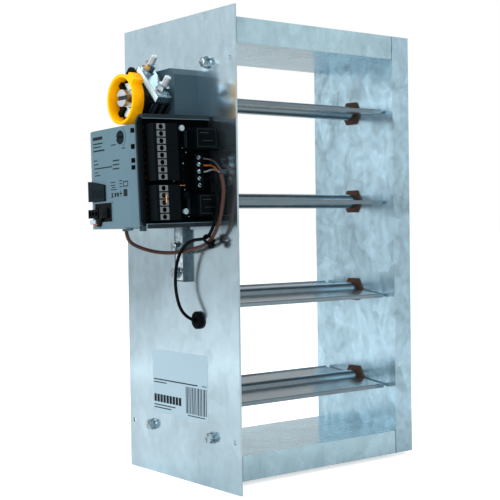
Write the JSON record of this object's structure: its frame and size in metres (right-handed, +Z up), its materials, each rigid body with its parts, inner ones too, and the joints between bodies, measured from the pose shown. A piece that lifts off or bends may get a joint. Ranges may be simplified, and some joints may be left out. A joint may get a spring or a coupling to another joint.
{
  "type": "zone damper",
  "caption": "Rectangular zone damper: parallel blades in a galvanised channel frame, with a mounting plate that carries an actuator on the drive shaft and a control board in a track.",
  "frame": {"origin": "centre of the mounting plate's back face, which lies on the duct", "axes": "+X into the duct along the blades, +Y away from the board's side, +Z up"},
  "size_m": [0.2662, 0.1492, 0.3556],
  "materials": {
    "galvanised": "satin galvanised sheet",
    "plated_steel": "bright zinc plate",
    "shaft_steel": "plain steel",
    "brown_plastic": "moulded",
    "dark_housing": "fine texture",
    "light_housing": "fine texture",
    "black_plastic": "satin",
    "orange_plastic": "translucent",
    "grey_track": "extruded",
    "foam_tape": "adhesive foam",
    "board_laminate": "black solder mask",
    "terminal_grey": "moulded",
    "white_nylon": "moulded",
    "copper": "bare wire",
    "black_rubber": "moulded",
    "brown_jacket": "smooth jacket",
    "black_jacket": "smooth jacket",
    "white_wire": "smooth jacket",
    "orange_wire": "smooth jacket",
    "grey_wire": "smooth jacket"
  },
  "bodies": {
    "frame": {"mounting_plate": "galvanised", "near_jamb": "galvanised", "far_jamb": "galvanised", "top_channel": "galvanised", "bottom_channel": "galvanised", "corner_rivets": "plated_steel", "near_bushings": "brown_plastic", "far_bushings": "brown_plastic", "plate_screws": "plated_steel", "bracket_screws": "plated_steel", "anti_rotation_bracket": "galvanised", "actuator_base": "dark_housing", "actuator_cover": "light_housing", "cable_plug": "black_plastic", "board_track": "grey_track", "track_tape": "foam_tape", "circuit_board": "board_laminate", "board_standoffs": "white_nylon", "thermostat_terminals": "terminal_grey", "supply_terminals": "terminal_grey", "actuator_terminals": "terminal_grey", "relays": "black_plastic", "board_components": "terminal_grey", "jumper_wire": "copper", "plate_grommet": "black_rubber", "actuator_cable": "brown_jacket", "sensor_cable": "black_jacket", "lead_white": "white_wire", "lead_orange": "orange_wire", "lead_grey": "grey_wire", "lead_black": "black_jacket", "cable_tie": "black_plastic"},
    "drive_blade": {"blade_1_upper_skin": "galvanised", "blade_1_lower_skin": "galvanised", "drive_shaft": "shaft_steel", "drive_crank": "plated_steel", "clamp_hub": "black_plastic", "clamp_saddle": "plated_steel", "clamp_bolt": "plated_steel", "clamp_nuts": "plated_steel", "position_ring": "orange_plastic"},
    "blade_2": {"blade_2_upper_skin": "galvanised", "blade_2_lower_skin": "galvanised", "blade_2_shaft": "shaft_steel", "blade_2_crank": "plated_steel"},
    "blade_3": {"blade_3_upper_skin": "galvanised", "blade_3_lower_skin": "galvanised", "blade_3_shaft": "shaft_steel", "blade_3_crank": "plated_steel"},
    "blade_4": {"blade_4_upper_skin": "galvanised", "blade_4_lower_skin": "galvanised", "blade_4_shaft": "shaft_steel", "blade_4_crank": "plated_steel"},
    "tie_bar": {"tie_bar": "plated_steel"},
    "release_button": {"release_button": "dark_housing"},
    "direction_selector": {"direction_selector": "dark_housing"}
  },
  "joints": [
    {"name": "drive_turn", "type": "hinge", "parent": "frame", "child": "drive_blade", "pos_m": [0, 0, 0.1143], "axis": [1, 0, 0], "range_deg": [-93, 0]},
    {"name": "blade_2_turn", "type": "hinge", "parent": "frame", "child": "blade_2", "pos_m": [0, 0, 0.0381], "axis": [1, 0, 0], "range_deg": [-93, 0]},
    {"name": "blade_3_turn", "type": "hinge", "parent": "frame", "child": "blade_3", "pos_m": [0, 0, -0.0381], "axis": [1, 0, 0], "range_deg": [-93, 0]},
    {"name": "blade_4_turn", "type": "hinge", "parent": "frame", "child": "blade_4", "pos_m": [0, 0, -0.1143], "axis": [1, 0, 0], "range_deg": [-93, 0]},
    {"name": "tie_bar_pivot", "type": "hinge", "parent": "drive_blade", "child": "tie_bar", "pos_m": [0.0063, 0.01414, 0.12844], "axis": [1, 0, 0], "range_deg": [0, 93]},
    {"name": "button_press", "type": "slide", "parent": "frame", "child": "release_button", "axis": [1, 0, 0], "range_m": [0, 0.003], "stiffness_N_per_m": 400, "springref_m": -0.0005},
    {"name": "selector_turn", "type": "hinge", "parent": "frame", "child": "direction_selector", "pos_m": [-0.0626, -0.01551, 0.0837], "axis": [1, 0, 0], "range_deg": [0, 90]}
  ],
  "couplings": [
    {"joint": "blade_2_turn", "follows": "drive_turn", "ratio": 1},
    {"joint": "blade_3_turn", "follows": "drive_turn", "ratio": 1},
    {"joint": "blade_4_turn", "follows": "drive_turn", "ratio": 1},
    {"joint": "tie_bar_pivot", "follows": "drive_turn", "ratio": -1}
  ]
}
